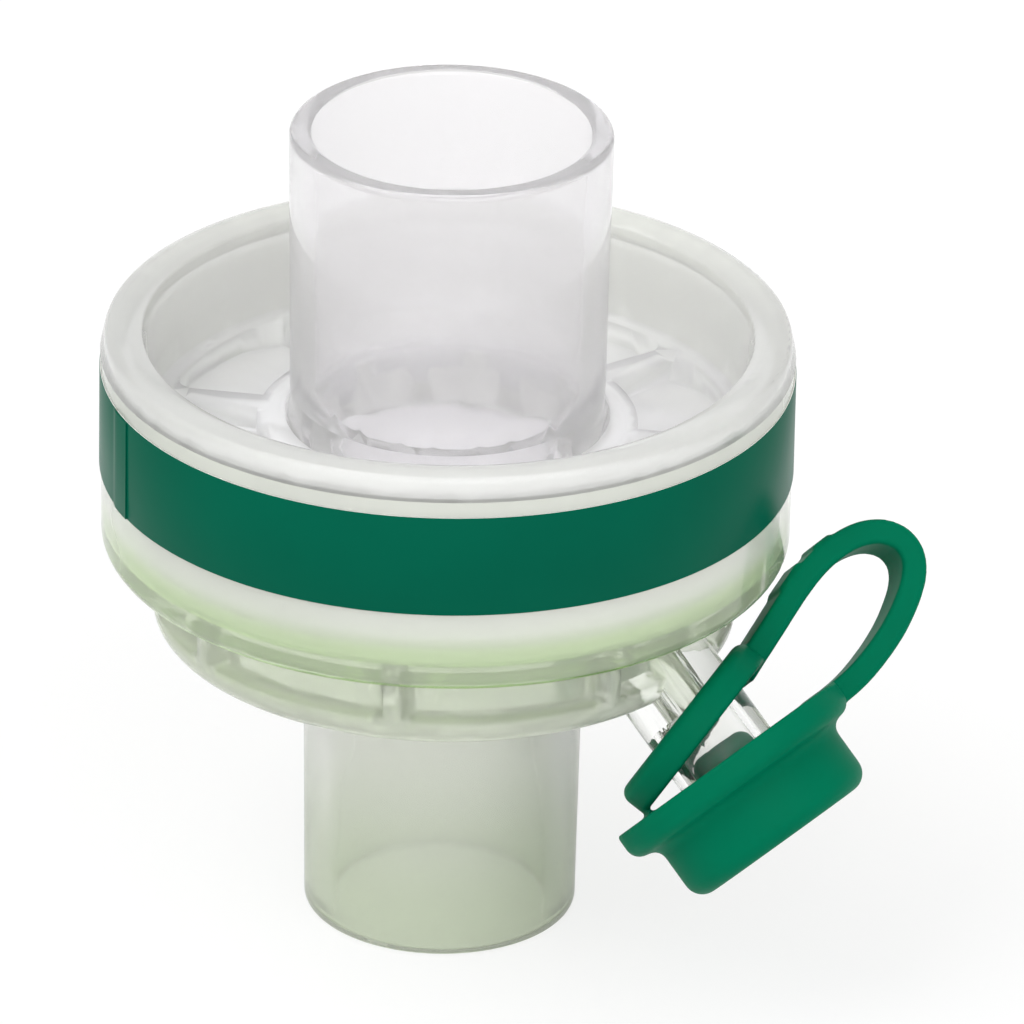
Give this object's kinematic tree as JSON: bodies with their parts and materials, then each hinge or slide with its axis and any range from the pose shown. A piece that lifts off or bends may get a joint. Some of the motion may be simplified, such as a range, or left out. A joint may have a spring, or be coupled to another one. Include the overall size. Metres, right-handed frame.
{
  "type": "breathing circuit filter",
  "caption": "Round clear breathing circuit filter with a socket above, a tapered cone below and a tethered cap on its slanted side port.",
  "frame": {"origin": "on the gas axis, in the plane of the lower cone's mouth", "axes": "+Z along the gas axis from the lower cone to the upper socket, +X towards the slanted side port"},
  "size_m": [0.0456, 0.0386, 0.0475],
  "materials": {
    "clear_housing": "clear, glossy, faint green tint",
    "media_white": "white porous disc",
    "membrane_white": "white electrostatic felt",
    "label_green": "glossy printed film",
    "cap_green": "soft satin moulded plastic"
  },
  "bodies": {
    "filter_body": {"upper_housing": "clear_housing", "lower_housing": "clear_housing", "hme_disc": "media_white", "filter_membrane": "membrane_white", "label_band": "label_green"},
    "port_cap": {"luer_cap": "cap_green"}
  },
  "joints": [
    {"name": "cap_pull", "type": "slide", "parent": "filter_body", "child": "port_cap", "axis": [0.7071, 0, -0.7071], "range_m": [0, 0.006]}
  ]
}
